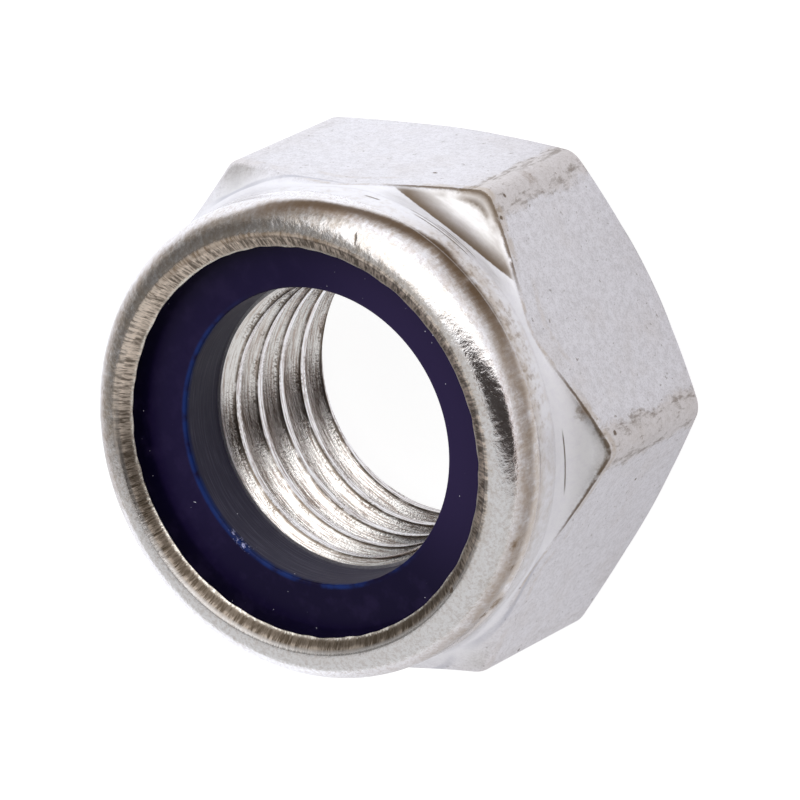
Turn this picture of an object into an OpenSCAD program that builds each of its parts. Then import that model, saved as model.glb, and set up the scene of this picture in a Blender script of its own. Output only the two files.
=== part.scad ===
// Hexagon lock nut with a captive nylon ring, thin pattern, coarse M16 thread.
// The nut stands on its bearing face. The origin is the middle of that face, and +Z runs
// along the thread's axis to the nylon end. Two corners of the hexagon lie on the X axis.

/* [Hexagon] */
// Distance across the flats
across_flats = 24; // [23:0.1:25]
// Radius on the six upright edges
corner_radius = 0.5; // [0.3:0.1:1]
// Diameter of the round bearing face
bearing_d = 23.8; // [22.5:0.1:24.5]
// Angle of the turned chamfer round the bearing face
chamfer_angle = 30; // [20:1:40]
// Height of the corners' upper ends, where the land is lowest
land_height = 9.6; // [8:0.1:10]

/* [Collar] */
// Outer diameter of the round collar
collar_d = 23.95; // [23.3:0.05:24.8]
// Radius of the hollow land between the collar and the corners
land_radius = 2.2; // [1.8:0.1:2.8]
// Wall of the collar round the ring
collar_wall = 1.3; // [1:0.05:1.6]
// Height at which the rolling tool's shoulder starts
shoulder_height = 13.5; // [13.2:0.1:13.6]
// How far the shoulder steps in, on the radius
shoulder_step = 0.05; // [0.02:0.01:0.15]
// Height of the whole nut, over the rolled rim
nut_height = 15.8; // [15.6:0.1:16.4]
// Radius of the rolled rim's outer bend
rim_bend = 1.5; // [1.3:0.1:1.7]
// Width of the rim's sloping cut edge, from its crest to the opening
rim_edge_width = 0.75; // [0.6:0.05:0.9]
// Drop of that edge, from its crest to the opening
rim_edge_drop = 0.55; // [0.45:0.05:0.7]

/* [Thread] */
// Nominal diameter of the thread
thread_d = 16; // [15.5:0.1:16.5]
// Pitch of the thread
pitch = 2; // [1.5:0.1:2.2]
// Height of the threaded body, up to the ring's seat
seat_height = 11.2; // [10.8:0.1:11.6]
// Diameter of the countersink in the bearing face
countersink_d = 17.2; // [16.8:0.1:17.6]
// Full angle of the countersink and of the lead-in at the ring's seat
countersink_angle = 75; // [65:5:120]
// Depth of the small lead-in at the ring's seat
lead_in_depth = 0.4; // [0.2:0.1:0.8]

/* [Nylon ring] */
// Bore of the ring
ring_bore_d = 14.75; // [14.3:0.05:15.2]
// Height by which the ring stands above the rim's foot, where the rim pinches its corner
ring_pinch = 0.26; // [0.1:0.02:0.5]
// Radius on the bore's upper edge
ring_edge_radius = 0.12; // [0.05:0.01:0.3]
// Gap round the ring, on each side
ring_gap = 0.02; // [0.01:0.01:0.05]

/* [Hidden] */

// Smoothness of the round surfaces
$fn = 128;
// Length by which a cutter passes the face that it cuts
PASS = 1;
// How far the cutter of a thread groove reaches inside the bore
GROOVE_OVERCUT = 0.3;

STEEL = [0.74, 0.73, 0.74];
NYLON = [0.09, 0.07, 0.2];

collar_r = collar_d / 2;
recess_r = collar_r - collar_wall;

// Corners of the hexagon, and the centres of their radii
corner_reach = across_flats / 2 / cos(30);
corner_centre = (across_flats / 2 - corner_radius) / cos(30);

// The land's hollow touches the collar's wall at its own centre's height
land_centre_r = collar_r + land_radius;
land_centre_z = land_height + land_radius;

// The rolled rim: the middle of its outer bend, its crest and its cut edge
rim_r = collar_r - shoulder_step;
bend_centre_r = rim_r - rim_bend;
bend_centre_z = nut_height - rim_bend;
opening_r = bend_centre_r - rim_edge_width;
edge_z = nut_height - rim_edge_drop;
// The rim's inner face leaves the cut edge at a right angle and meets the recess's wall
under_slope = rim_edge_width / rim_edge_drop;
under_z = edge_z - (recess_r - opening_r) * under_slope;

// ISO metric thread: height of the full triangle, and the crest's radius in the nut
thread_triangle = pitch * cos(30);
major_r = thread_d / 2;
minor_r = major_r - 5 / 8 * thread_triangle;
// A groove is an eighth of the pitch wide at its root
root_width = pitch / 8;

countersink_r = countersink_d / 2;
cone_slope = tan(countersink_angle / 2);
countersink_depth = (countersink_r - minor_r) / cone_slope;

// The grooves lie a pitch apart, between a whole crest at either end of the bore
groove_first_z = countersink_depth + pitch / 4 + groove_half(minor_r);
groove_last_z = seat_height - lead_in_depth - groove_half(minor_r);
groove_count = floor((groove_last_z - groove_first_z) / pitch) + 1;

ring_bore_r = ring_bore_d / 2;
ring_outer_r = recess_r - ring_gap;
ring_top = under_z + ring_pinch;
// The ring keeps its gap square to the rim's sloping inner face
ring_slope_drop = ring_gap * norm([1, under_slope]);
ring_top_r = opening_r + (edge_z - ring_slope_drop - ring_top) / under_slope;

// Directions of the hexagon's corners
function corner_angles() = [for (k = [0:5]) 60 * k];

// Half of a groove's width at radius r: its flanks lie at 30 degrees to the radius
function groove_half(r) = root_width / 2 + (major_r - r) * tan(30);

// Hexagon with a radius on each corner
module hexagon_outline() {
    polygon([
        for (a = corner_angles(), side = [-1, 1])
        corner_centre * [cos(a), sin(a)] + corner_radius * [cos(a + 30 * side), sin(a + 30 * side)]
    ]);
    for (a = corner_angles())
        rotate(a) translate([corner_centre, 0]) circle(r = corner_radius);
}

// Half section of what turning leaves of the hexagon: the chamfer below and the land above
module turned_section() {
    reach = corner_reach + PASS;
    difference() {
        polygon([
            [0, 0],
            [bearing_d / 2, 0],
            [reach, (reach - bearing_d / 2) * tan(chamfer_angle)],
            [reach, land_centre_z],
            [0, land_centre_z]
        ]);
        translate([land_centre_r, land_centre_z]) circle(r = land_radius);
    }
}

// Hexagonal part of the nut, up to the top of the land, where the turned section ends it
module hexagon_body() {
    intersection() {
        linear_extrude(land_centre_z + PASS) hexagon_outline();
        rotate_extrude() turned_section();
    }
}

// Half section of the collar: a plain wall, the shoulder and the rim rolled over the ring
module collar_section() {
    polygon([
        [0, land_height],
        [collar_r, land_height],
        [collar_r, shoulder_height],
        [rim_r, shoulder_height + shoulder_step],
        [rim_r, bend_centre_z],
        [bend_centre_r, nut_height],
        [opening_r, edge_z],
        [0, edge_z]
    ]);
    intersection() {
        translate([bend_centre_r, bend_centre_z]) circle(r = rim_bend);
        translate([bend_centre_r, bend_centre_z]) square(rim_bend + PASS);
    }
}

// Half section of the pocket for the ring, closed over by the rim's inner face
module pocket_section() {
    polygon([
        [0, seat_height],
        [recess_r, seat_height],
        [recess_r, under_z],
        [opening_r, edge_z],
        [opening_r, nut_height + PASS],
        [0, nut_height + PASS]
    ]);
}

// Half section of one thread groove, with its middle at height z
module groove_section(z) {
    inner_r = minor_r - GROOVE_OVERCUT;
    polygon([
        [inner_r, z - groove_half(inner_r)],
        [major_r, z - root_width / 2],
        [major_r, z + root_width / 2],
        [inner_r, z + groove_half(inner_r)]
    ]);
}

// Grooves of the thread in its true section, as closed rings a pitch apart
module thread_grooves() {
    for (k = [0:groove_count - 1])
        rotate_extrude() groove_section(groove_first_z + k * pitch);
}

// Bore with its countersinks at the bearing face and at the ring's seat
module bore() {
    translate([0, 0, -PASS])
        cylinder(r = minor_r, h = seat_height + 2 * PASS);
    translate([0, 0, -PASS])
        cylinder(r1 = countersink_r + PASS * cone_slope, r2 = minor_r, h = countersink_depth + PASS);
    translate([0, 0, seat_height - lead_in_depth])
        cylinder(r1 = minor_r, r2 = minor_r + (lead_in_depth + PASS) * cone_slope, h = lead_in_depth + PASS);
}

// Steel body: hexagon, collar and rolled rim in one piece
module nut_body() {
    color(STEEL)
    difference() {
        union() {
            hexagon_body();
            rotate_extrude() collar_section();
        }
        rotate_extrude() pocket_section();
        bore();
        thread_grooves();
    }
}

// Nylon ring: it lies on its seat, and the rim pinches its outer upper corner
module nylon_ring() {
    color(NYLON)
    rotate_extrude()
        difference() {
            polygon([
                [ring_bore_r, seat_height],
                [ring_outer_r, seat_height],
                [ring_outer_r, edge_z - ring_slope_drop - (ring_outer_r - opening_r) * under_slope],
                [ring_top_r, ring_top],
                [ring_bore_r, ring_top]
            ]);
            difference() {
                translate([ring_bore_r, ring_top - ring_edge_radius])
                    square(ring_edge_radius);
                translate([ring_bore_r + ring_edge_radius, ring_top - ring_edge_radius])
                    circle(r = ring_edge_radius);
            }
        }
}

nut_body();
nylon_ring();
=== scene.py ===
"""Looks of the nylon insert lock nut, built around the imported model.

The nut stands on its bearing face at z = 0 with its axis on Z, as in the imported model.
The outer shape is a grid: one profile, from the bearing face over the rim to the ring's seat,
is worked out at each angle round the axis. The thread is a helical grid between its two ends.
Lengths are millimetres until a mesh is made.
"""

import math

import bmesh
import bpy
import numpy as np
from mathutils import Matrix, Vector


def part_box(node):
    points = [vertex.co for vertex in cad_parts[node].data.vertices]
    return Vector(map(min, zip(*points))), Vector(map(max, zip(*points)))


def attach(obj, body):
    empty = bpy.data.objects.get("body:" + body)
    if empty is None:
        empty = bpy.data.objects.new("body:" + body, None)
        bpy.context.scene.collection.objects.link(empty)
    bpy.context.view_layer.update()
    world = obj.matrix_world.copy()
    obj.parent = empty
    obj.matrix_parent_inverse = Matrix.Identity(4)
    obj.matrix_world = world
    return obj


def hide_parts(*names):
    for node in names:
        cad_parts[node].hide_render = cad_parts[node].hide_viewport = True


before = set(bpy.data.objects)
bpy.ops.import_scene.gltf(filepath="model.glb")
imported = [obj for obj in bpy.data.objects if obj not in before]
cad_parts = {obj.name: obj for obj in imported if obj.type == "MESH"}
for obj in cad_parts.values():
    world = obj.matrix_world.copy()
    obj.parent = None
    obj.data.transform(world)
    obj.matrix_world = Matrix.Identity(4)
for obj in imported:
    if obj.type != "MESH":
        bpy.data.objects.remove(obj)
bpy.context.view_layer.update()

MM = 0.001

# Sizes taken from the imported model
BODY_LOW, BODY_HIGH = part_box("nut_body")
RING_LOW, RING_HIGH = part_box("nylon_ring")
APOTHEM = (BODY_HIGH.y - BODY_LOW.y) / MM / 2
NUT_HEIGHT = BODY_HIGH.z / MM
RING_TOP = RING_HIGH.z / MM
RING_OUTER_R = RING_HIGH.x / MM
SEAT_HEIGHT = RING_LOW.z / MM

# Hexagon. A sector reaches from one corner to the next
SECTOR = math.radians(60)
HALF_SECTOR = SECTOR / 2
CORNER_RADIUS = 0.9
BEARING_R = 11.9
CHAMFER_SLOPE = math.tan(math.radians(30))

# Collar and rolled rim
COLLAR_R = 11.975
COLLAR_WALL = 1.3
SHOULDER_HEIGHT = 13.5
SHOULDER_STEP = 0.05
SHOULDER_RISE = 0.4
RIM_BEND = 1.5
RIM_EDGE_WIDTH = 0.75
RIM_EDGE_DROP = 0.55
RIM_R = COLLAR_R - SHOULDER_STEP
RECESS_R = COLLAR_R - COLLAR_WALL
# Middle of the bend, straight below the crest, and the opening at the cut edge's lower end
BEND_R = RIM_R - RIM_BEND
BEND_Z = NUT_HEIGHT - RIM_BEND
OPENING_R = BEND_R - RIM_EDGE_WIDTH
OPENING_Z = NUT_HEIGHT - RIM_EDGE_DROP
# How far the opening is ragged, about, to either side
OPENING_WOBBLE = 0.03
# The rim's inner face is square to the cut edge
UNDER_SLOPE = RIM_EDGE_WIDTH / RIM_EDGE_DROP

# Land: the radius of its hollow, and of the circle that the hollow's centres lie on
LAND_RADIUS = 2.2
HOLLOW_R = COLLAR_R + LAND_RADIUS
# The land at the six corners, from the corner on +X counterclockwise: its height, the radius of
# its edge, and how far out its hollow stays free of that radius, as a share
LAND_HEIGHTS = (10.3, 9.9, 9.8, 10.3, 9.6, 9.4)
LAND_EDGE_RADII = (0.6, 0.25, 0.25, 0.9, 0.2, 0.16)
LAND_HOLLOW_ENDS = (0.5, 0.75, 0.75, 0.35, 0.75, 0.8)
# Values of neighbouring corners blend within this angle of the middle between them
BLEND_REACH = math.radians(10)
# The land ends between these angles from the corner, with this much more radius on its edge
LAND_ENDS = (math.radians(17), math.radians(24))
LAND_END_RADIUS = 5.0

# Radii of the rounded edges, and the largest length of a rounding beside its edge, as a share of
# the shorter neighbour
CHAMFER_FILLET = 0.3
SHOULDER_FILLET = 2.0
CREST_FILLET = 0.25
LIP_FILLET = 0.05
ROUND_SHARE = 0.45

# Thread
PITCH = 2.0
MAJOR_R = 8.0
MINOR_R = MAJOR_R - 5 / 8 * PITCH * math.cos(math.radians(30))
FLANK_SLOPE = math.tan(math.radians(30))
# Half the width of a groove's root, and the distance from its middle to the edge of the crest
ROOT_EDGE = PITCH / 16
CREST_EDGE = ROOT_EDGE + (MAJOR_R - MINOR_R) * FLANK_SLOPE
COUNTERSINK_R = 8.6
CONE_SLOPE = math.tan(math.radians(75 / 2))
LEAD_IN_DEPTH = 0.4
# Height of the groove's middle on the XZ plane at +X
GROOVE_START = 0.7
# A thread point this near to an end of the bore, or beyond it, becomes the end's own point
END_GAP = 0.01

# Nylon ring. The gap is between its sloping corner and the rim, along the axis
RING_BORE_R = 7.375
RING_EDGE_RADIUS = 0.14
RING_SLOPE_GAP = 0.05
RING_COLUMNS = 360

# Angles between the body's columns beside a corner and on a flat, and the reach of the close ones
CLOSE_STEP = math.radians(0.3)
WIDE_STEP = math.radians(1.15)
CLOSE_REACH = math.radians(3)
# Edges above this angle stay sharp
SHARP_ANGLE = math.radians(40)

# Zones of the profile that each mask of the steel covers
MASK_ZONES = {
    "land": ("land",),
    "collar": ("collar",),
    "bend": ("bend", "ridge", "shoulder"),
    "cut": ("cut", "lip"),
    "hexagon": ("flat", "chamfer", "land_edge", "bearing"),
    "thread": ("thread",),
}


def smooth_step(x, low, high):
    """0 below low, 1 above high, and a smooth rise between."""
    t = np.clip((x - low) / (high - low), 0, 1)
    return t * t * (3 - 2 * t)


def wobble(theta, orders, seed):
    """A closed random wave round the axis, between about -1 and 1, from waves of the given orders."""
    rng = np.random.default_rng(seed)
    total = np.zeros_like(theta)
    for order in orders:
        total += rng.uniform(0.5, 1) * np.sin(order * theta + rng.uniform(0, 2 * math.pi))
    return total / math.sqrt(len(orders))


def column_angles():
    """Angles of the body's columns: close together at each corner and wider on the flats."""
    near = np.arange(-CLOSE_REACH, CLOSE_REACH - CLOSE_STEP / 2, CLOSE_STEP)
    steps = round((SECTOR - 2 * CLOSE_REACH) / WIDE_STEP)
    far = np.linspace(CLOSE_REACH, SECTOR - CLOSE_REACH, steps + 1)[:-1]
    one_sector = np.concatenate([near, far])
    return np.concatenate([one_sector + SECTOR * k for k in range(6)])


def corner_offset(theta):
    """Index of the nearest corner, and the signed angle from it."""
    index = np.round(theta / SECTOR)
    return index.astype(int) % 6, theta - index * SECTOR


def hexagon_radius(theta):
    """Radius of the hexagon with rounded corners."""
    _, offset = corner_offset(theta)
    offset = np.abs(offset)
    flat = APOTHEM / np.cos(HALF_SECTOR - offset)
    centre = (APOTHEM - CORNER_RADIUS) / math.cos(HALF_SECTOR)
    reach = CORNER_RADIUS ** 2 - (centre * np.sin(offset)) ** 2
    round_part = centre * np.cos(offset) + np.sqrt(np.maximum(reach, 0))
    tangent = math.atan2(CORNER_RADIUS / 2, centre + CORNER_RADIUS * math.cos(HALF_SECTOR))
    return np.where(offset < tangent, round_part, flat)


def by_corner(values, theta):
    """A value that differs from corner to corner and blends half way between them."""
    index, offset = corner_offset(theta)
    values = np.array(values)
    neighbour = (index + np.where(offset > 0, 1, -1)) % 6
    share = smooth_step(np.abs(offset), HALF_SECTOR - BLEND_REACH, HALF_SECTOR + BLEND_REACH)
    return values[index] * (1 - share) + values[neighbour] * share


def in_space(radius, height, theta):
    """Points of a grid in space, row by row, from the radius and height of each."""
    return np.stack([radius * np.cos(theta), radius * np.sin(theta), height], 2).reshape(-1, 3)


class Profile:
    """Rows of a grid round the axis. Each is a ring of (radius, height) points with a surface zone."""

    def __init__(self, count):
        self.count = count
        self.rows = []
        self.zones = []

    def point(self, r, z):
        """One (radius, height) pair for every column."""
        return np.stack([np.broadcast_to(r, self.count), np.broadcast_to(z, self.count)], 1).astype(float)

    def add(self, row, zone):
        """One more row."""
        self.rows.append(row)
        self.zones.append(zone)

    def line(self, start, end, steps, zone):
        """Rows strictly between two points."""
        for k in range(1, steps):
            self.add(start + (end - start) * k / steps, zone)

    def fillet(self, before, corner, after, radius, steps, zone):
        """Rounds the corner and returns the last point of the rounding."""
        back, ahead = before - corner, after - corner
        back_length = np.linalg.norm(back, axis=1, keepdims=True) + 1e-9
        ahead_length = np.linalg.norm(ahead, axis=1, keepdims=True) + 1e-9
        back, ahead = back / back_length, ahead / ahead_length
        turn = math.pi - np.arccos(np.clip((back * ahead).sum(1, keepdims=True), -1, 1))
        tangent = np.broadcast_to(radius, (self.count,))[:, None] * np.tan(turn / 2)
        tangent = np.minimum(tangent, ROUND_SHARE * np.minimum(back_length, ahead_length))
        first, last = corner + back * tangent, corner + ahead * tangent
        for k in range(steps + 1):
            t = k / steps
            self.add((1 - t) ** 2 * first + 2 * t * (1 - t) * corner + t ** 2 * last, zone)
        return last

    def points(self, theta):
        """All points in space, row by row."""
        rows = np.stack(self.rows)
        return in_space(rows[:, :, 0], rows[:, :, 1], theta)

    def point_zones(self):
        """The zone of each point."""
        return np.repeat(np.array(self.zones), self.count)


def add_hexagon(profile, theta):
    """Rows from the countersink's edge to the top of the land. Returns the foot of the collar."""
    hexagon = hexagon_radius(theta)
    hollow_z = by_corner(LAND_HEIGHTS, theta) + LAND_RADIUS
    edge_turn = np.arccos(np.clip((HOLLOW_R - hexagon) / LAND_RADIUS, -1, 1))

    def hollow(share):
        """A row in the land, from 0 at the collar to 1 at the land's edge."""
        turn = edge_turn * share
        return profile.point(HOLLOW_R - LAND_RADIUS * np.cos(turn), hollow_z - LAND_RADIUS * np.sin(turn))

    countersink = profile.point(COUNTERSINK_R, 0)
    bearing = profile.point(BEARING_R, 0)
    chamfer = profile.point(hexagon, (hexagon - BEARING_R) * CHAMFER_SLOPE)
    land_edge = hollow(1.0)
    profile.add(countersink, "bearing")
    profile.line(countersink, bearing, 4, "bearing")
    last = profile.fillet(countersink, bearing, chamfer, CHAMFER_FILLET, 3, "bearing")
    profile.line(last, chamfer, 4, "chamfer")
    last = profile.fillet(bearing, chamfer, land_edge, CHAMFER_FILLET, 3, "chamfer")
    profile.line(last, land_edge, 13, "flat")
    # Between the ends of the lands the flat runs into the collar without an edge
    _, offset = corner_offset(theta)
    land_end = smooth_step(np.abs(offset), *LAND_ENDS)
    edge_radius = by_corner(LAND_EDGE_RADII, theta) + LAND_END_RADIUS * land_end
    hollow_end = by_corner(LAND_HOLLOW_ENDS, theta)
    profile.fillet(chamfer, land_edge, hollow(hollow_end), edge_radius, 5, "land_edge")
    for share in np.linspace(0.95, 0.0, 9):
        profile.add(hollow(hollow_end * share), "land")
    return hollow(0.0)


def add_rim(profile, theta, collar_foot):
    """Rows from the foot of the collar over the shoulder, the bend and the cut edge to the seat."""
    shoulder = profile.point(COLLAR_R, SHOULDER_HEIGHT)
    step_top = profile.point(RIM_R, SHOULDER_HEIGHT + SHOULDER_RISE)
    crest = profile.point(BEND_R, NUT_HEIGHT)
    ragged = OPENING_WOBBLE * wobble(theta, range(5, 60, 4), 3)
    opening = profile.point(OPENING_R + ragged, OPENING_Z)
    under = profile.point(RECESS_R, OPENING_Z - (RECESS_R - OPENING_R) * UNDER_SLOPE)
    recess_foot = profile.point(RECESS_R, SEAT_HEIGHT)
    seat = profile.point(MINOR_R + LEAD_IN_DEPTH * CONE_SLOPE, SEAT_HEIGHT)

    profile.line(collar_foot, shoulder, 7, "collar")
    last = profile.fillet(collar_foot, shoulder, step_top, SHOULDER_FILLET, 3, "shoulder")
    profile.fillet(last, step_top, profile.point(RIM_R, BEND_Z), SHOULDER_FILLET, 3, "shoulder")
    for turn in np.radians(np.arange(0, 85, 6.5)):
        out, up = RIM_BEND * math.cos(turn), RIM_BEND * math.sin(turn)
        profile.add(profile.point(BEND_R + out, BEND_Z + up), "bend")
    near_crest = profile.point(BEND_R + 0.2, NUT_HEIGHT - 0.01)
    last = profile.fillet(near_crest, crest, opening, CREST_FILLET, 3, "ridge")
    profile.line(last, opening, 4, "cut")
    last = profile.fillet(crest, opening, under, LIP_FILLET, 3, "lip")
    profile.line(last, under, 4, "inside")
    profile.add(under, "inside")
    profile.add(recess_foot, "inside")
    profile.line(recess_foot, seat, 3, "inside")
    profile.add(seat, "inside")


def off_groove(z, theta):
    """Distance along the axis from the middle of the nearest thread groove."""
    turns = (z - GROOVE_START) / PITCH - theta / (2 * math.pi)
    return np.abs(turns - np.round(turns)) * PITCH


def groove_radius(z, theta):
    """Radius of the thread's surface, before the countersinks cut it."""
    flank = MAJOR_R - (off_groove(z, theta) - ROOT_EDGE) / FLANK_SLOPE
    return np.clip(flank, MINOR_R, MAJOR_R)


def thread_offsets():
    """Heights of the grid's rows within one pitch, above the groove's middle: close at each edge."""
    flank = np.linspace(ROOT_EDGE, CREST_EDGE, 6)
    crest = [CREST_EDGE - 0.03, CREST_EDGE + 0.03, CREST_EDGE + 0.12]
    half = np.concatenate([[0, ROOT_EDGE * 0.8], flank[:-1], crest])
    return np.concatenate([half, [PITCH / 2], PITCH - half[:0:-1]])


def thread_grid(theta):
    """Height and radius of the helical grid's points, cut off at both ends, and its rows per turn."""
    offsets = thread_offsets()
    turns = math.ceil(SEAT_HEIGHT / PITCH) + 2
    start = np.concatenate([offsets + PITCH * (k - 2) for k in range(turns + 1)]) + GROOVE_START
    z = start[:, None] + PITCH * theta[None, :] / (2 * math.pi)
    radius = groove_radius(z, theta[None, :])
    countersink = COUNTERSINK_R - z * CONE_SLOPE
    lead_in = MINOR_R + (z - SEAT_HEIGHT + LEAD_IN_DEPTH) * CONE_SLOPE
    radius = np.maximum(radius, np.maximum(countersink, lead_in))
    return z, radius, len(offsets)


def thread_faces(index, rows_per_turn):
    """Faces of the helical grid. Beside its last column lies the first one, a turn further up."""
    beside_last = index[rows_per_turn:, 0]
    faces = []
    for row in range(len(index) - 1):
        lower, upper = index[row], index[row + 1]
        if row + 1 < len(beside_last):
            lower = np.append(lower, beside_last[row])
            upper = np.append(upper, beside_last[row + 1])
        for quad in zip(lower, upper, upper[1:], lower[1:]):
            corners = list(dict.fromkeys(int(i) for i in quad))
            if len(corners) > 2:
                faces.append(corners)
    return faces


def band_faces(rows, count):
    """Quads between each two rows, given by number, of a grid that is closed round the axis."""
    columns = np.arange(count)
    beside = (columns + 1) % count
    bands = []
    for low, high in zip(rows, rows[1:]):
        low, high = low * count, high * count
        bands.append(np.stack([low + columns, low + beside, high + beside, high + columns], 1))
    return np.concatenate(bands).tolist()


def drop_unused(count, faces):
    """Indices of those of the points that the faces use, and the faces numbered by them."""
    used = np.unique(np.concatenate(faces))
    renumber = np.full(count, -1)
    renumber[used] = np.arange(len(used))
    return used, [renumber[face].tolist() for face in faces]


def mesh_object(name, points, faces):
    """A mesh object from points in millimetres and faces as lists of indices."""
    mesh = bpy.data.meshes.new(name)
    mesh.from_pydata((np.asarray(points) * MM).tolist(), [], faces)
    mesh.validate()
    mesh.update()
    thing = bpy.data.objects.new(name, mesh)
    bpy.context.scene.collection.objects.link(thing)
    return thing


def add_attributes(thing, values_by_name):
    """Numbers for every point of the mesh, which its material reads by their name."""
    for name, values in values_by_name.items():
        attribute = thing.data.attributes.new(name, "FLOAT", "POINT")
        attribute.data.foreach_set("value", np.asarray(values, np.float32))


def hexagon_edge_height(theta):
    """Height of the edge between the flats and the land."""
    drop = np.sqrt(np.maximum(LAND_RADIUS ** 2 - (HOLLOW_R - hexagon_radius(theta)) ** 2, 0))
    return by_corner(LAND_HEIGHTS, theta) + LAND_RADIUS - drop


def up_the_rim(points):
    """Height up to the bend's start, and from there the way along the bend, in millimetres."""
    out = np.hypot(points[:, 0], points[:, 1]) - BEND_R
    turn = np.arctan2(points[:, 2] - BEND_Z, np.maximum(out, 1e-6))
    return np.where(points[:, 2] > BEND_Z, BEND_Z + RIM_BEND * turn, points[:, 2])


def add_body_attributes(body, points, theta, zones):
    """The measures and the masks that the steel's marks are placed by."""
    height = points[:, 2]
    _, offset = corner_offset(theta)
    along_flat = np.tan(HALF_SECTOR - np.abs(offset))
    add_attributes(body, {
        "corner_mm": APOTHEM * (math.tan(HALF_SECTOR) - along_flat),
        "below_land_mm": hexagon_edge_height(theta) - height,
        "corner_degrees": np.degrees(offset),
        "groove_mm": off_groove(height, theta),
        "rim_mm": up_the_rim(points),
    })
    add_attributes(body, {name: np.isin(zones, covered) for name, covered in MASK_ZONES.items()})


def build_nut_body():
    """The steel body as one closed mesh: the outer grid, and the thread between its two ends."""
    theta = column_angles()
    count = len(theta)
    profile = Profile(count)
    add_rim(profile, theta, add_hexagon(profile, theta))
    rows = len(profile.rows)
    faces = band_faces(range(rows), count)

    z, radius, rows_per_turn = thread_grid(theta)
    index = rows * count + np.arange(z.size).reshape(z.shape)
    # The ends of the bore are the outer grid's first and last rows
    columns = np.broadcast_to(np.arange(count), z.shape)
    index = np.where(z < END_GAP, columns, index)
    index = np.where(z > SEAT_HEIGHT - END_GAP, (rows - 1) * count + columns, index)
    faces += thread_faces(index, rows_per_turn)

    points = np.concatenate([profile.points(theta), in_space(radius, z, theta)])
    zones = np.concatenate([profile.point_zones(), np.full(z.size, "thread")])
    used, faces = drop_unused(len(points), faces)
    body = mesh_object("nut_body_steel", points[used], faces)
    add_body_attributes(body, points[used], theta[used % count], zones[used])
    return body


def build_nylon_ring():
    """The nylon ring, with its bore's upper edge rounded and its outer corner pinched by the rim."""
    theta = np.arange(RING_COLUMNS) * 2 * math.pi / RING_COLUMNS
    profile = Profile(RING_COLUMNS)
    corner_z = OPENING_Z - (RING_OUTER_R - OPENING_R) * UNDER_SLOPE - RING_SLOPE_GAP
    slope_r = RING_OUTER_R - (RING_TOP - corner_z) / UNDER_SLOPE
    foot_in = profile.point(RING_BORE_R, SEAT_HEIGHT)
    foot_out = profile.point(RING_OUTER_R, SEAT_HEIGHT)
    corner = profile.point(RING_OUTER_R, corner_z)
    top_out = profile.point(slope_r, RING_TOP)
    top_in = profile.point(RING_BORE_R, RING_TOP)
    profile.add(foot_in, "bore")
    profile.line(foot_in, foot_out, 4, "hidden")
    profile.add(foot_out, "hidden")
    profile.add(corner, "hidden")
    profile.add(top_out, "face")
    profile.line(top_out, top_in, 12, "face")
    last = profile.fillet(top_out, top_in, foot_in, RING_EDGE_RADIUS, 5, "edge")
    profile.line(last, foot_in, 12, "bore")
    faces = band_faces([*range(len(profile.rows)), 0], RING_COLUMNS)
    ring = mesh_object("nylon_ring_insert", profile.points(theta), faces)
    zones = profile.point_zones()
    add_attributes(ring, {"bore_wall": zones == "bore", "edge": zones == "edge"})
    return ring


def finish_shading(thing):
    """Smooth shading that keeps sharp edges, with all faces outward."""
    work = bmesh.new()
    work.from_mesh(thing.data)
    bmesh.ops.recalc_face_normals(work, faces=work.faces)
    work.to_mesh(thing.data)
    work.free()
    thing.data.shade_smooth()
    thing.data.set_sharp_from_angle(angle=SHARP_ANGLE)


def direction_from(azimuth, elevation=0.0):
    """Unit vector towards an azimuth, counted from +X, and an elevation, in degrees."""
    a, e = math.radians(azimuth), math.radians(elevation)
    return Vector((math.cos(a) * math.cos(e), math.sin(a) * math.cos(e), math.sin(e)))


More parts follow.
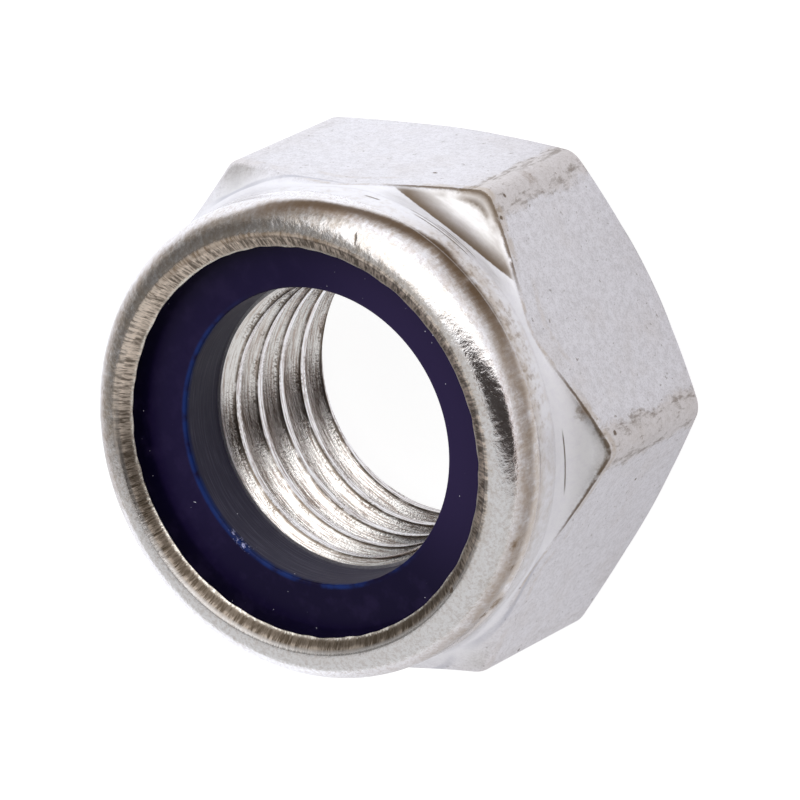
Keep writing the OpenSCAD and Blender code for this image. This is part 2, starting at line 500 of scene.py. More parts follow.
class Tree:
    """Adds nodes to one node tree. Most methods return the output socket that they make."""

    def __init__(self, owner):
        owner.use_nodes = True
        self.tree = owner.node_tree
        self.tree.nodes.clear()

    def node(self, kind, inputs=(), **settings):
        """A new node. An input, given by name or number, takes a value or another node's output."""
        made = self.tree.nodes.new(kind)
        for name, value in settings.items():
            setattr(made, name, value)
        for key, value in dict(inputs).items():
            socket = made.inputs[key]
            if isinstance(value, bpy.types.NodeSocket):
                self.tree.links.new(value, socket)
            elif socket.type == "RGBA":
                socket.default_value = (*value, 1.0)
            else:
                socket.default_value = value
        return made

    def math(self, operation, first, second=0.0):
        return self.node("ShaderNodeMath", {0: first, 1: second}, operation=operation).outputs[0]

    def chain(self, operation, values):
        """One number from several, with the same operation between each two."""
        total = values[0]
        for value in values[1:]:
            total = self.math(operation, total, value)
        return total

    def add(self, *values):
        return self.chain("ADD", values)

    def minus(self, first, second):
        return self.math("SUBTRACT", first, second)

    def times(self, first, second):
        return self.math("MULTIPLY", first, second)

    def all_of(self, *masks):
        return self.chain("MULTIPLY", masks)

    def any_of(self, *masks):
        return self.chain("MAXIMUM", masks)

    def vector(self, operation, first, second=(0.0, 0.0, 0.0)):
        made = self.node("ShaderNodeVectorMath", {0: first, 1: second}, operation=operation)
        return made.outputs["Value"] if operation in ("LENGTH", "DOT_PRODUCT") else made.outputs["Vector"]

    def toward(self, vector, azimuth, elevation=0.0):
        """How far a vector reaches towards an azimuth and an elevation, in degrees."""
        return self.vector("DOT_PRODUCT", vector, tuple(direction_from(azimuth, elevation)))

    def combine(self, x, y, z):
        return self.node("ShaderNodeCombineXYZ", {"X": x, "Y": y, "Z": z}).outputs[0]

    def separate(self, vector):
        """The three parts of a vector."""
        return self.node("ShaderNodeSeparateXYZ", {0: vector}).outputs

    def attribute(self, name):
        return self.node("ShaderNodeAttribute", attribute_name=name).outputs["Fac"]

    def millimetres(self):
        """The point on the object, in millimetres."""
        metres = self.node("ShaderNodeTexCoord").outputs["Object"]
        return self.vector("MULTIPLY", metres, (1 / MM, 1 / MM, 1 / MM))

    def noise(self, at, scale, detail=2.0, roughness=0.55):
        inputs = {"Vector": at, "Scale": scale, "Detail": detail, "Roughness": roughness}
        return self.node("ShaderNodeTexNoise", inputs).outputs["Fac"]

    def ragged(self, value, noise, reach):
        """A value that a noise moves, by up to half of the reach either way."""
        return self.add(value, self.times(self.minus(noise, 0.5), reach))

    def ramp(self, value, low, high):
        """0 at low and 1 at high, smooth between; low may be above high."""
        inputs = {"Value": value, "From Min": low, "From Max": high}
        return self.node("ShaderNodeMapRange", inputs, interpolation_type="SMOOTHSTEP").outputs["Result"]

    def blend(self, share, first, second, data_type="FLOAT"):
        """Blends two numbers."""
        inputs = {"Factor": share, "A": first, "B": second}
        return self.node("ShaderNodeMix", inputs, data_type=data_type).outputs["Result"]

    def mix(self, share, first, second):
        """Blends two colours."""
        return self.blend(share, first, second, "RGBA")

    def paint(self, colour, over, share, *masks):
        """Lays a colour over another where all the masks are 1, as thickly as the share says."""
        return self.mix(self.all_of(*masks, share), colour, over)

    def bump(self, height):
        """The normal of a relief whose height is in millimetres."""
        inputs = {"Distance": MM, "Strength": 1.0, "Height": height}
        return self.node("ShaderNodeBump", inputs).outputs["Normal"]

    def surface(self, colour, roughness, normal, metallic=0.0, specular=0.5):
        """The shader of a piece, linked to its output."""
        inputs = {"Base Color": colour, "Roughness": roughness, "Normal": normal}
        inputs |= {"Metallic": metallic, "Specular IOR Level": specular}
        self.send(self.node("ShaderNodeBsdfPrincipled", inputs))

    def send(self, shader, output="ShaderNodeOutputMaterial"):
        """Links a shader to the tree's output."""
        self.node(output, {"Surface": shader.outputs[0]})


class PieceTree(Tree):
    """The node tree of a piece, with the point on it and its place round the axis."""

    def __init__(self, owner):
        super().__init__(owner)
        self.position = self.millimetres()
        self.height = self.separate(self.position)[2]
        flat = self.vector("MULTIPLY", self.position, (1.0, 1.0, 0.0))
        self.radius = self.vector("LENGTH", flat)
        self.direction = self.vector("NORMALIZE", flat)

    def facing(self, azimuth, low, high):
        """1 on the side towards an azimuth; low and high are cosines of the angle from it."""
        return self.ramp(self.toward(self.direction, azimuth), low, high)

    def distance(self, at):
        """Distance from a point, in millimetres."""
        return self.vector("LENGTH", self.vector("SUBTRACT", self.position, at))


# Colours of the steel, of what has got on it, and of painted shade and highlights
STEEL_FLAT = (0.83, 0.815, 0.84)
STEEL_DULL = (0.64, 0.62, 0.63)
STEEL_BRIGHT = (0.87, 0.86, 0.87)
STEEL_WORN = (0.73, 0.69, 0.68)
STEEL_SOIL_AND_SHADE = (0.40, 0.37, 0.35)
STEEL_CREASE_SHADOW = (0.42, 0.42, 0.47)
THREAD_PALE = (0.97, 0.95, 0.93)
THREAD_DARK = (0.70, 0.61, 0.56)
THREAD_SHADE = (0.46, 0.39, 0.35)
GRIME_AND_SHADE = (0.14, 0.095, 0.055)
RUST = (0.22, 0.14, 0.075)
FOOT_RUST = (0.115, 0.070, 0.036)
TARNISH = (0.50, 0.405, 0.30)
CUT_STEEL = (0.88, 0.75, 0.64)
CUT_DARK = (0.095, 0.073, 0.053)
CREST_STEEL = (0.24, 0.21, 0.18)
LIP_HIGHLIGHT = (0.98, 0.93, 0.84)


class SteelTree(PieceTree):
    """The steel's node tree, with the masks, measures and noises that its marks are made from."""

    def __init__(self, owner):
        super().__init__(owner)
        x, y, _ = self.separate(self.direction)
        self.angle = self.math("DEGREES", self.math("ARCTAN2", y, x))
        self.hexagon = self.attribute("hexagon")
        self.land = self.attribute("land")
        self.collar = self.attribute("collar")
        self.bend = self.attribute("bend")
        self.cut = self.attribute("cut")
        self.thread = self.attribute("thread")
        self.smooth = self.any_of(self.land, self.collar)
        self.corner = self.attribute("corner_mm")
        self.corner_degrees = self.attribute("corner_degrees")
        self.rim = self.attribute("rim_mm")
        self.below_land = self.attribute("below_land_mm")
        self.groove = self.attribute("groove_mm")
        self.fine = self.noise(self.position, 5.0, 4.0, 0.7)
        self.sand = self.noise(self.position, 9.0, 2.0, 0.7)
        self.speckle = self.noise(self.position, 5.0, 3.0, 0.75)
        self.mottle = self.noise(self.position, 2.6, 5.0, 0.8)
        self.pits = self.patches(3.4, 0.66, 0.74, 2.0)
        # Ribs across the rim's cut edge, and the tap's marks along the thread
        rib_at = self.ragged(self.times(self.angle, 0.18), self.fine, 0.05)
        rib_at = self.combine(rib_at, self.times(self.radius, 0.16), self.times(self.height, 0.16))
        self.rib = self.noise(rib_at, 7.0, 3.0, 0.7)
        unwound = self.minus(self.height, self.times(self.angle, PITCH / 360))
        along_thread = self.combine(self.radius, unwound, self.times(self.angle, 0.006))
        self.tool = self.noise(along_thread, 11.0, 4.0, 0.8)
        # The side where the rim's cut edge is dirtiest
        self.dirty_side = self.facing(140, -0.1, 0.6)

    def patches(self, scale, low, high, detail=3.0, at=None):
        """Ragged patches, wider where low is further below one half."""
        return self.ramp(self.noise(self.position if at is None else at, scale, detail, 0.65), low, high)

    def near(self, value, middle, width):
        """1 where a value is at the middle, and 0 from a width away."""
        return self.ramp(self.math("ABSOLUTE", self.minus(value, middle)), width, width * 0.25)

    def scratch(self, first, last, width):
        """A line round the outside, from (angle, height) to (angle, height), in degrees and mm."""
        slope = (last[1] - first[1]) / (last[0] - first[0])
        line = self.add(self.times(self.minus(self.angle, first[0]), slope), first[1])
        middle, half = (first[0] + last[0]) / 2, abs(last[0] - first[0]) / 2
        along = self.ramp(self.math("ABSOLUTE", self.minus(self.angle, middle)), half, half * 0.6)
        return self.times(self.near(self.minus(self.height, line), 0.0, width), along)

    def dot(self, at, size, inner=0.5):
        """A ragged spot round a point, full inside a share of its size."""
        return self.ramp(self.ragged(self.distance(at), self.fine, size * 1.5), size, size * inner)

    def all_marks(self, kind, table, *settings):
        """The marks of one kind, a scratch or a dot, from a table of their places and sizes."""
        return self.any_of(*[kind(*row, *settings) for row in table])


# Azimuths of the two corners beside the -Y flat, of that flat and of the side behind
CORNER_A = -60
CORNER_B = -120
FRONT = -90
BACK = 90

# Dark scratches on the collar and the bend: (angle, height) of both ends, and the width
SCRATCHES = (
    ((-48.0, 11.75), (-66.0, 11.72), 0.05),
    ((-50.0, 11.98), (-69.0, 11.90), 0.06),
    ((-56.0, 11.60), (-70.0, 11.62), 0.04),
    ((-38.5, 12.35), (-43.0, 12.25), 0.10),
    ((-113.0, 11.25), (-130.0, 11.05), 0.06),
    ((-46.2, 15.45), (-47.6, 15.70), 0.09),
)
# Painted shadows in the soft creases between the collar and the lands at the corners on the X axis: the
# same
CREASE_SHADOWS = (
    ((-142.0, 11.60), (-179.9, 11.42), 0.30),
    ((156.0, 9.90), (179.9, 11.42), 0.24),
    ((-34.0, 11.45), (10.0, 11.30), 0.15),
)
# Brown stains low on the bend, in the land at corner B and on corner A: place and size
STAINS = (
    ((-10.92, -4.86, 13.70), 0.75),
    ((-11.17, -4.18, 14.10), 0.45),
    ((-8.76, -8.03, 14.66), 0.40),
    ((-9.60, -6.90, 14.20), 0.40),
    ((-4.53, -11.95, 10.25), 0.60),
    ((6.60, -11.60, 5.60), 0.70),
)
# Pits and dirt beside the edges: place and size
DOTS = (
    ((-9.42, -4.30, 15.72), 0.17),
    ((-13.55, -0.40, 7.40), 0.14),
    ((-8.60, -9.10, 4.60), 0.12),
    ((8.87, -8.64, 7.80), 0.16),
    ((6.40, -12.0, 8.30), 0.13),
    ((5.50, -12.0, 9.40), 0.15),
    ((-6.10, -12.0, 8.75), 0.17),
)


def corner_wear(t):
    """Worn bands along the upright corners, and the dirt along their borders."""
    slow = t.noise(t.position, 0.7, 2.0)
    ragged = t.ragged(t.ragged(t.corner, t.fine, 1.0), slow, 1.6)
    band = t.all_of(t.ramp(ragged, 1.45, 0.95), t.hexagon)
    streaks = t.noise(t.vector("MULTIPLY", t.position, (1.0, 1.0, 0.35)), 3.2, 3.0, 0.7)
    border = t.all_of(t.near(ragged, 1.0, 0.45), t.hexagon, t.ramp(streaks, 0.45, 0.64))
    # A dark burr low on one corner, on its lit side
    lit_side = t.ramp(t.corner_degrees, 0.4, 1.2)
    burr = t.all_of(t.near(t.corner, 0.72, 0.42), t.hexagon, lit_side, t.ramp(streaks, 0.40, 0.56))
    burr = t.all_of(burr, t.facing(CORNER_A + 2, 0.97, 0.99), t.ramp(t.height, 7.5, 3.5))
    border = t.any_of(border, burr, t.all_of(t.ramp(streaks, 0.60, 0.68), band, 0.7))
    front = t.blend(t.facing(FRONT, 0.3, 0.8), 0.25, 1.0)
    return t.times(band, front), t.times(border, front)


def land_edge_marks(t):
    """Dirt in the edge between the flats and the lands, and the rubbed strips beside it."""
    edge = t.ragged(t.below_land, t.fine, 0.16)
    line = t.all_of(t.near(edge, -0.02, 0.13), t.ramp(t.corner, 6.4, 5.0), t.patches(0.8, 0.28, 0.42))
    crescent = t.all_of(t.near(edge, -0.14, 0.30), t.ramp(t.corner, 3.0, 1.4), t.patches(0.5, 0.30, 0.55))
    crescent = t.times(crescent, t.facing(CORNER_A + 10, 0.90, 0.96))
    back = t.times(t.facing(BACK, 0.0, 0.6), 0.6)
    dirty = t.any_of(t.facing(CORNER_A, 0.92, 0.97), t.facing(CORNER_B, 0.92, 0.97), back)
    outside = t.any_of(t.hexagon, t.land)
    crevice = t.all_of(t.any_of(line, crescent), outside, dirty)
    strip = t.all_of(t.near(edge, 0.26, 0.42), t.ramp(t.corner, 4.5, 2.5), t.patches(1.6, 0.32, 0.60))
    strip = t.all_of(strip, outside, t.blend(dirty, 0.35, 1.0))
    # Fine lines along the flats' upper edges, where they run into the collar
    rubbed = t.any_of(t.near(edge, 0.05, 0.20), t.times(t.near(edge, 1.35, 0.3), 0.5))
    rubbed = t.all_of(rubbed, t.ramp(t.corner, 4.4, 5.4), t.any_of(outside, t.collar))
    rubbed = t.times(rubbed, t.patches(1.5, 0.36, 0.6))
    return crevice, t.any_of(strip, rubbed)


def land_dirt(t):
    """Brown in the hollow lands, dark and sharp beside the collar and fading towards the corner."""
    # Its upper edge drops to both sides of the corner
    top = t.minus(11.33, t.times(t.times(t.corner_degrees, t.corner_degrees), 0.002))
    below = t.ragged(t.minus(top, t.height), t.fine, 0.12)
    body = t.times(t.ramp(below, -0.04, 0.05), t.ramp(below, 1.35, 0.05))
    where = t.any_of(t.facing(CORNER_A, 0.93, 0.97), t.times(t.facing(BACK, 0.0, 0.6), 0.5))
    return t.all_of(body, t.land, where)


def foot_marks(t):
    """The band round the foot of the bend: its brown stain, its dark core and its pale surround."""
    # It starts lowest at two places of the round, and climbs most on the photo's left side
    side = t.toward(t.direction, 28)
    left = t.math("MINIMUM", t.times(t.math("MAXIMUM", side, 0.0), 3.3), 2.6)
    right = t.times(t.math("MINIMUM", side, 0.0), -1.2)
    foot = t.add(t.add(left, right), 12.85)
    slow = t.noise(t.direction, 4.0, 3.0, 0.6)
    off_foot = t.ragged(t.ragged(t.minus(t.rim, foot), t.fine, 0.30), slow, 0.7)
    place = t.any_of(t.bend, t.collar)
    strength = t.blend(t.facing(-52, 0.70, 0.95), 0.40, 1.0)
    sharp = t.ramp(off_foot, -0.28, 0.22)
    core = t.all_of(sharp, t.ramp(off_foot, 1.5, 0.4), place, strength, t.ramp(slow, 0.22, 0.40))
    streak = t.noise(t.combine(t.times(t.angle, 0.5), t.times(t.rim, 0.45), 0.0), 1.6, 3.0, 0.75)
    stain = t.all_of(sharp, t.ramp(off_foot, 1.9, 0.5), place, t.ramp(streak, 0.25, 0.6))
    stain = t.times(stain, t.any_of(strength, 0.6))
    flecks = t.all_of(t.near(off_foot, -0.4, 1.3), t.facing(-88, 0.80, 0.97), t.patches(3.4, 0.46, 0.74))
    stain = t.any_of(stain, t.all_of(flecks, place, 0.6))
    cream = t.all_of(t.ramp(off_foot, -1.2, 0.2), t.patches(1.3, 0.3, 0.7), t.facing(0, -0.3, 0.5), 0.4)
    beige = t.all_of(t.near(off_foot, 0.2, 1.5), t.patches(1.1, 0.25, 0.6), t.facing(-115, 0.2, 0.8), 0.65)
    return stain, core, t.times(t.any_of(cream, beige), place)


def crest_marks(t):
    """Dirt along the rim's crest, which is narrow on the dirtiest side, and beside it."""
    out = t.minus(t.radius, BEND_R)
    ragged_out = t.ragged(out, t.fine, 0.25)
    high = t.ramp(t.height, NUT_HEIGHT - 0.6, NUT_HEIGHT - 0.4)
    wide = t.times(t.ramp(ragged_out, 0.195, 0.055), 0.8)
    narrow = t.times(t.ramp(out, 0.085, -0.005), 0.5)
    ridge = t.all_of(t.blend(t.dirty_side, wide, narrow), high)
    beside = t.all_of(t.ramp(ragged_out, 0.675, 0.075), high, t.patches(1.0, 0.32, 0.60))
    return ridge, beside


def flat_colour(t, band, border):
    """Flats: fine mottling with a warm tinge here and there, pits, and the worn corners."""
    tone = t.ramp(t.add(t.times(t.mottle, 0.5), t.times(t.sand, 0.5)), 0.38, 0.60)
    colour = t.mix(tone, STEEL_DULL, STEEL_FLAT)
    colour = t.paint(colour, STEEL_SOIL_AND_SHADE, 0.30, t.ramp(t.sand, 0.55, 0.72))
    colour = t.paint(colour, TARNISH, 0.12, t.patches(0.35, 0.45, 0.75))
    colour = t.paint(colour, GRIME_AND_SHADE, 0.5, t.pits, t.hexagon)
    colour = t.paint(colour, TARNISH, 0.28, band)
    return t.paint(colour, GRIME_AND_SHADE, 0.5, border)


def collar_colour(t, colour):
    """Lands and collar: brighter, with soft brown in the hollow beside the collar, and painted bluish
    shadow in the creases.
    """
    bright = t.ramp(t.mottle, 0.3, 0.6)
    colour = t.mix(t.smooth, colour, t.mix(bright, STEEL_FLAT, STEEL_BRIGHT))
    colour = t.paint(colour, TARNISH, 0.35, t.collar, t.patches(1.7, 0.42, 0.78))
    colour = t.paint(colour, STEEL_SOIL_AND_SHADE, 0.3, t.collar, t.facing(-165, 0.5, 0.95), bright)
    along_land = t.combine(t.times(t.angle, 0.05), t.times(t.height, 0.9), t.radius)
    streaks = t.patches(1.5, 0.25, 0.75, 5.0, along_land)
    colour = t.paint(colour, STEEL_SOIL_AND_SHADE, 0.60, t.land, t.facing(CORNER_A, 0.93, 0.97), streaks)
    colour = t.paint(colour, GRIME_AND_SHADE, 0.95, land_dirt(t))
    # Painted shadow, bluish, in the creases between the collar and the lands
    crease_shadows = t.all_marks(t.scratch, CREASE_SHADOWS)
    return t.paint(colour, STEEL_CREASE_SHADOW, 0.55, crease_shadows, t.any_of(t.smooth, t.hexagon))


def bend_colour(t, colour, stain, core, pale, beside):
    """Rolled bend: speckled all over, and darker towards the photo's upper left."""
    colour = t.mix(t.bend, colour, t.mix(t.ramp(t.speckle, 0.34, 0.58), STEEL_WORN, STEEL_BRIGHT))
    colour = t.mix(pale, colour, TARNISH)
    # Mottled soiling and painted dark reflection on the bend's upper part, on the side towards azimuth 15
    soil_and_shade = t.all_of(t.ramp(t.mottle, 0.42, 0.60), t.facing(15, -0.2, 0.8), t.ramp(t.rim, 15.0, 15.6))
    colour = t.paint(colour, STEEL_SOIL_AND_SHADE, 0.35, t.bend, soil_and_shade)
    colour = t.paint(colour, TARNISH, 0.2, t.bend, t.ramp(t.mottle, 0.52, 0.68))
    colour = t.paint(colour, RUST, t.blend(t.facing(-80, 0.55, 0.95), 0.50, 0.80), stain)
    colour = t.paint(colour, FOOT_RUST, 0.95, core)
    return t.paint(colour, TARNISH, t.blend(t.dirty_side, 0.35, 0.1), beside)


def cut_colour(t, colour, ridge):
    """Sheared edge of the rim and its crest, with ribs across and a painted highlight on the inner lip."""
    blotch = t.noise(t.position, 1.3, 3.0, 0.6)
    tone = t.ramp(t.add(t.times(t.rib, 0.75), t.times(blotch, 0.25)), 0.41, 0.59)
    out = t.ragged(t.minus(t.radius, BEND_R), t.rib, 0.35)
    middle = t.near(out, -0.445, 0.25)
    clean = t.blend(t.dirty_side, t.blend(middle, 0.95, 0.70), t.blend(middle, 0.42, 0.10))
    rib_tone = t.add(t.times(tone, clean), t.blend(t.dirty_side, 0.14, 0.0))
    ribs = t.mix(rib_tone, CUT_DARK, CUT_STEEL)
    crest = t.mix(t.facing(-15, 0.7, 0.95), ribs, t.mix(t.times(tone, 0.6), RUST, CUT_STEEL))
    crest = t.mix(t.dirty_side, crest, CREST_STEEL)
    edge = t.mix(t.ramp(out, -0.245, -0.005), ribs, crest)
    # Painted highlight along the inner lip, broken in patches
    lip = t.times(t.ramp(out, -0.605, -0.705), t.blend(t.patches(2.4, 0.40, 0.55), 0.35, 1.0))
    edge = t.mix(lip, edge, LIP_HIGHLIGHT)
    colour = t.mix(ridge, colour, crest)
    return t.mix(t.cut, colour, edge)


def thread_colour(t, colour):
    """Thread: tool marks along it, painted shade on the bore's side towards azimuth 120, and painted shade
    lines and dirt specks beside the crests.
    """
    # Painted shade: the thread is darker on the side of the bore towards azimuth 120
    dark = t.mix(t.facing(120, 0.0, 0.8), THREAD_DARK, THREAD_SHADE)
    steel = t.mix(t.ramp(t.tool, 0.40, 0.54), dark, THREAD_PALE)
    # Painted shade along the crests' edges, and dark dirt specks beside them
    seam_shade = t.times(t.near(t.groove, CREST_EDGE, 0.08), t.patches(1.0, 0.3, 0.5))
    clots = t.times(t.patches(0.5, 0.46, 0.60), t.ramp(t.sand, 0.48, 0.56))
    clots = t.times(clots, t.near(t.groove, CREST_EDGE, 0.24))
    return t.mix(t.thread, colour, t.paint(steel, GRIME_AND_SHADE, 0.85, t.any_of(seam_shade, clots)))


def steel_roughness(t, ridge, dirt):
    """Roughness of each zone, slightly mottled, and of the dirt on it."""
    roughness = t.blend(t.smooth, 0.36, 0.38)
    roughness = t.blend(t.times(t.land, t.facing(CORNER_B, 0.90, 0.96)), roughness, 0.65)
    roughness = t.blend(t.bend, roughness, 0.14)
    roughness = t.blend(t.thread, roughness, 0.12)
    roughness = t.blend(t.any_of(t.cut, ridge), roughness, 0.4)
    return t.any_of(t.ragged(roughness, t.mottle, 0.12), t.times(dirt, 0.55))


def steel_height(t, ridge, dirt):
    """Height of the fine relief in millimetres: grain, dents, pits, ribs and tool marks."""
    grain = t.times(t.speckle, t.blend(t.bend, t.blend(t.thread, 0.008, 0.0), 0.016))
    thread_grain = t.all_of(t.sand, t.thread, 0.010)
    dents = t.times(t.noise(t.position, 2.2, 2.0, 0.5), t.times(t.bend, 0.025))
    hollows = t.times(t.any_of(t.times(t.pits, t.hexagon), dirt), -0.02)
    ribs = t.all_of(t.rib, t.any_of(t.cut, ridge), 0.03)
    tool_marks = t.all_of(t.tool, t.thread, 0.012)
    return t.add(grain, thread_grain, dents, hollows, ribs, tool_marks)


def steel_material():
    """Stainless steel: satin flats, a rougher rolled rim with brown stains, and a cut thread."""
    material = bpy.data.materials.new("steel")
    t = SteelTree(material)
    band, border = corner_wear(t)
    crevice, strip = land_edge_marks(t)
    stain, core, pale = foot_marks(t)
    ridge, beside = crest_marks(t)
    stains = t.all_marks(t.dot, STAINS, 0.0)
    scratches = t.all_of(t.all_marks(t.scratch, SCRATCHES), t.any_of(t.smooth, t.bend), 0.9)
    dirt = t.any_of(crevice, scratches, t.all_marks(t.dot, DOTS))

    colour = flat_colour(t, band, border)
    colour = collar_colour(t, colour)
    colour = bend_colour(t, colour, stain, core, pale, beside)
    colour = t.paint(colour, RUST, 0.75, stains)
    colour = cut_colour(t, colour, ridge)
    colour = thread_colour(t, colour)
    colour = t.paint(colour, TARNISH, 0.5, strip)
    colour = t.paint(colour, GRIME_AND_SHADE, 0.85, dirt)

    roughness = steel_roughness(t, ridge, t.any_of(dirt, border, core, stains))
    t.surface(colour, roughness, t.bump(steel_height(t, ridge, dirt)), metallic=1.0)
    return material


# Colours of the nylon, and of its painted shade, sheen and edge highlight
NYLON = (0.0080, 0.0040, 0.030)
NYLON_SHADE = (0.002, 0.0005, 0.014)
NYLON_PALE_AND_SHEEN = (0.021, 0.013, 0.052)
NYLON_BORE = (0.032, 0.029, 0.055)
NYLON_LINES = (0.06, 0.055, 0.09)
NYLON_EDGE_HIGHLIGHT = (0.006, 0.020, 0.11)
NYLON_NICK = (0.35, 0.36, 0.60)
DUST = (0.75, 0.75, 0.85)
NYLON_SPECULAR = 0.13
# The nicked stretch of the bore's upper edge: its middle and how far it reaches
NICK_PLACE = (-2.9, 6.8, 14.1)
NICK_REACH = 0.9


def nylon_nicks(t):
    """Pale nicks along a short stretch of the bore's upper edge."""
    nicks = t.ramp(t.noise(t.position, 3.5, 3.0, 0.7), 0.54, 0.62)
    stretch = t.ramp(t.distance(NICK_PLACE), NICK_REACH, NICK_REACH * 0.6)
    off_edge = t.math("ABSOLUTE", t.minus(t.radius, RING_BORE_R + 0.04))
    return t.all_of(nicks, stretch, t.ramp(off_edge, 0.24, 0.08), t.ramp(t.height, 13.7, 13.9))


def nylon_material():
    """Dark navy nylon, a little dusty, with fine turning lines in its bore and a nicked edge, and with
    painted shade, sheen and an edge highlight.
    """
    material = bpy.data.materials.new("nylon")
    t = PieceTree(material)
    bore_wall = t.attribute("bore_wall")
    edge = t.attribute("edge")
    far_side = t.facing(100, -0.3, 0.4)
    sideways = t.separate(t.direction)[0]
    lines = t.noise(t.combine(0.0, t.height, t.times(sideways, 0.4)), 9.0, 2.0, 0.6)
    specks = t.ramp(t.noise(t.position, 5.2, 1.0, 0.5), 0.80, 0.83)
    cloud = t.noise(t.position, 0.9, 3.0, 0.6)
    nicks = nylon_nicks(t)

    # The face has painted shade beside the rim, most on the far side, and towards azimuth 165, and a
    # painted sheen on the camera's side over paler clouds here and there
    shade = t.times(t.ramp(t.radius, 9.3, 9.66), t.blend(far_side, 0.5, 1.0))
    shade = t.any_of(shade, t.times(t.facing(165, 0.2, 0.9), 0.6))
    colour = t.mix(shade, NYLON, NYLON_SHADE)
    pale = t.any_of(t.times(t.ramp(cloud, 0.45, 0.70), 0.35), t.facing(-95, 0.2, 0.9))
    colour = t.mix(pale, colour, NYLON_PALE_AND_SHEEN)
    colour = t.mix(bore_wall, colour, t.mix(t.ramp(lines, 0.45, 0.75), NYLON_BORE, NYLON_LINES))
    # Painted highlight along the bore's rounded upper edge, on the far side
    colour = t.mix(t.all_of(edge, far_side, t.ramp(cloud, 0.3, 0.6)), colour, NYLON_EDGE_HIGHLIGHT)
    colour = t.mix(nicks, colour, NYLON_NICK)
    colour = t.mix(specks, colour, DUST)

    roughness = t.ragged(t.blend(bore_wall, 0.34, 0.42), cloud, 0.15)
    # Heights in millimetres
    grain = t.times(t.noise(t.position, 3.0, 3.0, 0.6), 0.006)
    relief = t.add(grain, t.all_of(lines, bore_wall, 0.02), t.times(nicks, -0.05))
    t.surface(colour, roughness, t.bump(relief), specular=NYLON_SPECULAR)
    return material


# Floor and room: colours of what the steel mirrors, and how bright the room's parts are
WHITE = (1.0, 1.0, 1.0)
FLOOR_GLOW_BEFORE = (0.95, 0.945, 1.0)
FLOOR_GLOW_BEHIND = (0.91, 0.93, 1.0)
GAP_COLOUR = (1.0, 0.86, 0.82)
ROOM_LIGHT = 0.66
PATCH_LIGHT = 0.27
GAP_LIGHT = 0.05
WINDOW_LIGHT = 1.7
HORIZON_LIGHT = 1.0
# Half the floor's width, in metres
FLOOR_REACH = 3.0


def light_path(t):
    """1 for rays from the camera or through glass, and 1 for rays that a shiny surface mirrors."""
    path = t.node("ShaderNodeLightPath").outputs
    return t.any_of(path["Is Camera Ray"], path["Is Transmission Ray"]), path["Is Glossy Ray"]


def floor_material():
    """White paper, white to the camera but for a soft shadow; in its steel's reflections it glows, with
    painted light brighter behind the nut.
    """
    material = bpy.data.materials.new("white_floor")
    t = Tree(material)
    seen, glossy = light_path(t)
    position = t.millimetres()
    # Painted light on the floor, which only reflections see: brighter behind the nut and far in front of
    # it towards azimuth -62
    behind = t.ramp(t.toward(position, 40), -7.0, 8.0)
    before = t.ramp(t.toward(position, -62), 25.0, 60.0)
    mirrored = t.add(t.blend(behind, 0.58, 0.94), t.times(before, 0.25))
    albedo = t.blend(seen, t.blend(glossy, 0.9, 0.3), 0.25)
    diffuse = t.node("ShaderNodeBsdfDiffuse", {"Color": t.combine(albedo, albedo, albedo)})
    colour = t.mix(glossy, WHITE, t.mix(behind, FLOOR_GLOW_BEFORE, FLOOR_GLOW_BEHIND))
    strength = t.blend(seen, t.times(glossy, mirrored), 0.9)
    glow = t.node("ShaderNodeEmission", {"Color": colour, "Strength": strength})
    t.send(t.node("ShaderNodeAddShader", {0: diffuse.outputs[0], 1: glow.outputs[0]}))
    return material


def build_floor():
    """The paper that the nut stands on. It isn't part of the nut."""
    ends = (-FLOOR_REACH, FLOOR_REACH)
    corners = [(x, y, 0) for y in ends for x in ends]
    mesh = bpy.data.meshes.new("floor")
    mesh.from_pydata(corners, [], [[0, 1, 3, 2]])
    floor = bpy.data.objects.new("floor", mesh)
    bpy.context.scene.collection.objects.link(floor)
    mesh.materials.append(floor_material())


def build_world():
    """A grey room, white at the horizon, with a dark gap beside the key light and a dark patch behind."""
    world = bpy.data.worlds.new("room")
    bpy.context.scene.world = world
    t = Tree(world)
    seen, _ = light_path(t)
    towards = t.node("ShaderNodeTexCoord").outputs["Generated"]
    x, y, z = t.separate(towards)
    azimuth = t.math("DEGREES", t.math("ARCTAN2", y, x))
    elevation = t.math("DEGREES", t.math("ARCSINE", z))
    # The window's left side leans to the right, and its right side fades out
    from_left = t.add(t.minus(azimuth, t.times(elevation, 0.48)), 103.0)
    from_right = t.add(t.minus(azimuth, t.times(elevation, 0.6)), 26.0)
    low_roof = t.ramp(elevation, 84.0, 74.0)
    window = t.all_of(t.ramp(from_left, -4.0, 4.0), t.ramp(from_right, 20.0, -16.0), low_roof)
    gap = t.all_of(t.ramp(from_left, 4.0, -4.0), t.ramp(azimuth, -144.0, -130.0), low_roof)
    patch = t.ramp(t.toward(towards, 52, 43), 0.86, 0.96)
    light = t.blend(patch, ROOM_LIGHT, PATCH_LIGHT)
    light = t.blend(gap, light, GAP_LIGHT)
    light = t.blend(window, light, WINDOW_LIGHT)
    light = t.blend(t.ramp(elevation, 1.0, 6.0), HORIZON_LIGHT, light)
    colour = t.mix(t.times(gap, t.minus(1.0, seen)), WHITE, GAP_COLOUR)
    inputs = {"Color": colour, "Strength": t.blend(seen, light, 1.0)}
    t.send(t.node("ShaderNodeBackground", inputs), "ShaderNodeOutputWorld")


# Light from behind: its direction in degrees, its distance and width in metres, its radiance,
# which is what a mirror would show of it, and its colour
BACK_LIGHT_AZIMUTH = 40
BACK_LIGHT_ELEVATION = 48
BACK_LIGHT_DISTANCE = 0.6
BACK_LIGHT_WIDTH = 0.4
BACK_LIGHT_RADIANCE = 2.6
BACK_LIGHT_COLOUR = (0.97, 0.98, 1.0)


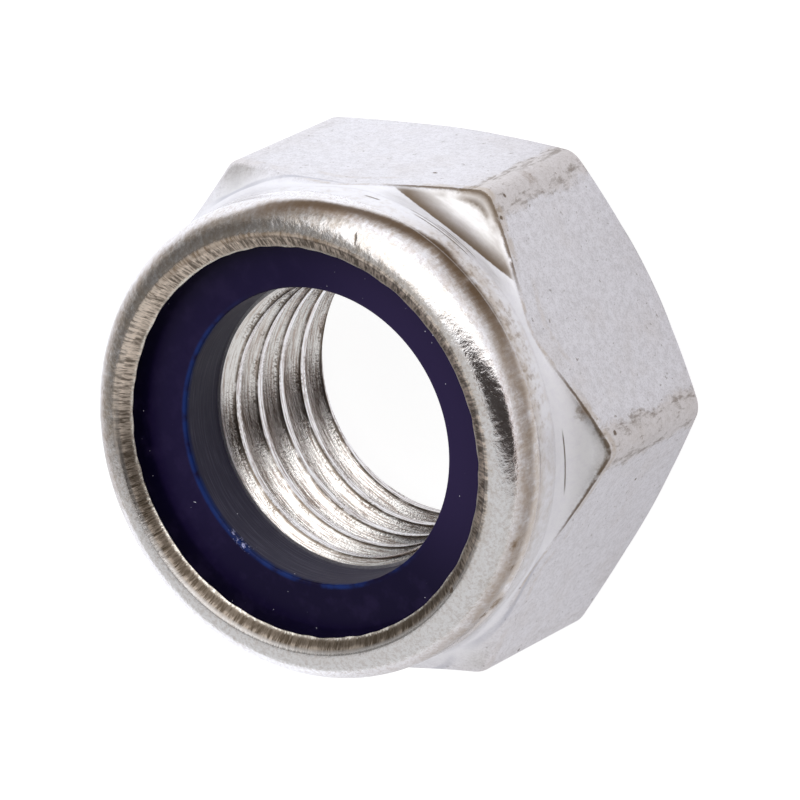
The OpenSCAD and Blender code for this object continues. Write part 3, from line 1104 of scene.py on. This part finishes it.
def build_back_light():
    """A soft light that whitens the floor, and isn't mirrored. The key light is the world's window."""
    data = bpy.data.lights.new("back", "AREA")
    data.shape = "SQUARE"
    data.size = BACK_LIGHT_WIDTH
    data.color = BACK_LIGHT_COLOUR
    data.energy = BACK_LIGHT_RADIANCE * math.pi * BACK_LIGHT_WIDTH ** 2
    lamp = bpy.data.objects.new("back", data)
    bpy.context.scene.collection.objects.link(lamp)
    towards = direction_from(BACK_LIGHT_AZIMUTH, BACK_LIGHT_ELEVATION)
    lamp.location = Vector((0, 0, NUT_HEIGHT / 2 * MM)) + towards * BACK_LIGHT_DISTANCE
    lamp.rotation_mode = "QUATERNION"
    lamp.rotation_quaternion = towards.to_track_quat("Z", "Y")
    lamp.visible_glossy = False
    lamp.visible_camera = False


# Camera: it looks at the nut from the side of the -Y flat, high above it, and is rolled
CAMERA_AIM = Vector((-0.18, -1.01, 7.9)) * MM
CAMERA_DISTANCE = 0.4973
CAMERA_AZIMUTH = -90
CAMERA_ELEVATION = 55.09
CAMERA_ROLL = -116.1
FOCAL_LENGTH = 462.2
SENSOR_WIDTH = 36.0


def build_camera():
    """The camera, fitted to the photo."""
    data = bpy.data.cameras.new("camera")
    data.lens = FOCAL_LENGTH
    data.sensor_width = SENSOR_WIDTH
    camera = bpy.data.objects.new("camera", data)
    bpy.context.scene.collection.objects.link(camera)
    back = direction_from(CAMERA_AZIMUTH, CAMERA_ELEVATION)
    level_right = Vector((1, 0, 0))
    level_up = back.cross(level_right)
    roll = math.radians(CAMERA_ROLL)
    right = level_right * math.cos(roll) + level_up * math.sin(roll)
    up = back.cross(right)
    turn = Matrix((right, up, back)).transposed()
    camera.matrix_world = Matrix.Translation(CAMERA_AIM + back * CAMERA_DISTANCE) @ turn.to_4x4()
    bpy.context.scene.camera = camera


def dress(piece, node, material):
    """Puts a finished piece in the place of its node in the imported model."""
    finish_shading(piece)
    piece.data.materials.clear()
    piece.data.materials.append(material)
    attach(piece, "root")
    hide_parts(node)


dress(build_nut_body(), "nut_body", steel_material())
dress(build_nylon_ring(), "nylon_ring", nylon_material())
build_floor()
build_world()
build_back_light()
build_camera()
bpy.context.scene.view_settings.view_transform = "Standard"
